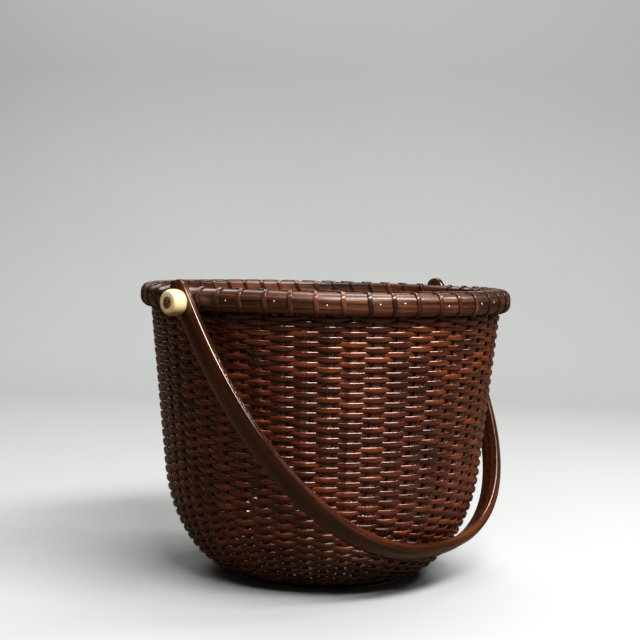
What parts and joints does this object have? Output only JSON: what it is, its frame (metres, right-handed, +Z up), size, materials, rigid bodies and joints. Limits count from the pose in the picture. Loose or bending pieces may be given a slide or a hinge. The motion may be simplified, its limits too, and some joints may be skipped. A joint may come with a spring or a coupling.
{
  "type": "nantucket basket",
  "caption": "Round open basket woven on staves over a mould, with a turned wooden base, a lashed double rim and one bent bail handle that swings on pins with bone knobs.",
  "frame": {"origin": "middle of the flat underside of the turned base", "axes": "+Z up through the middle of the basket; X along the handle's pivot axis, near pivot at -X; the handle hangs at rest towards -Y"},
  "size_m": [0.2614, 0.2314, 0.1829],
  "materials": {
    "base_wood": "turned hardwood under dark varnish",
    "stave_wood": "split hardwood stave under glossy varnish",
    "woven_cane": "woven cane, aged dark brown, varnished",
    "hoop_wood": "bent hardwood hoop, dark varnish",
    "lashing_cane": "flat cane binding, varnished",
    "handle_wood": "bent hardwood bail, very dark glossy varnish",
    "bone": "polished cream bone or ivory-like turned knob",
    "dark_brass": "tarnished brass pin"
  },
  "bodies": {
    "basket": {"turned_base": "base_wood", "woven_wall": "woven_cane", "outer_rim_hoop": "hoop_wood", "inner_rim_hoop": "hoop_wood", "rim_filler": "stave_wood", "rim_lashing": "lashing_cane", "near_pivot_pin": "dark_brass", "far_pivot_pin": "dark_brass", "near_pivot_knob": "bone", "far_pivot_knob": "bone", "stave_01": "stave_wood", "stave_02": "stave_wood", "stave_03": "stave_wood", "stave_04": "stave_wood", "stave_05": "stave_wood", "stave_06": "stave_wood", "stave_07": "stave_wood", "stave_08": "stave_wood", "stave_09": "stave_wood", "stave_10": "stave_wood", "stave_11": "stave_wood", "stave_12": "stave_wood", "stave_13": "stave_wood", "stave_14": "stave_wood", "stave_15": "stave_wood", "stave_16": "stave_wood", "stave_17": "stave_wood", "stave_18": "stave_wood", "stave_19": "stave_wood", "stave_20": "stave_wood", "stave_21": "stave_wood", "stave_22": "stave_wood", "stave_23": "stave_wood", "stave_24": "stave_wood", "stave_25": "stave_wood", "stave_26": "stave_wood", "stave_27": "stave_wood", "stave_28": "stave_wood", "stave_29": "stave_wood", "stave_30": "stave_wood", "stave_31": "stave_wood", "stave_32": "stave_wood", "stave_33": "stave_wood", "stave_34": "stave_wood", "stave_35": "stave_wood", "stave_36": "stave_wood", "stave_37": "stave_wood", "stave_38": "stave_wood", "stave_39": "stave_wood", "stave_40": "stave_wood", "stave_41": "stave_wood", "stave_42": "stave_wood", "stave_43": "stave_wood", "stave_44": "stave_wood", "stave_45": "stave_wood", "stave_46": "stave_wood", "stave_47": "stave_wood", "stave_48": "stave_wood", "stave_49": "stave_wood"},
    "handle": {"swing_handle": "handle_wood"}
  },
  "joints": [
    {"name": "handle_swing", "type": "hinge", "parent": "basket", "child": "handle", "pos_m": [0, 0, 0.17], "axis": [-1, 0, 0], "range_deg": [0, 293.8]}
  ]
}
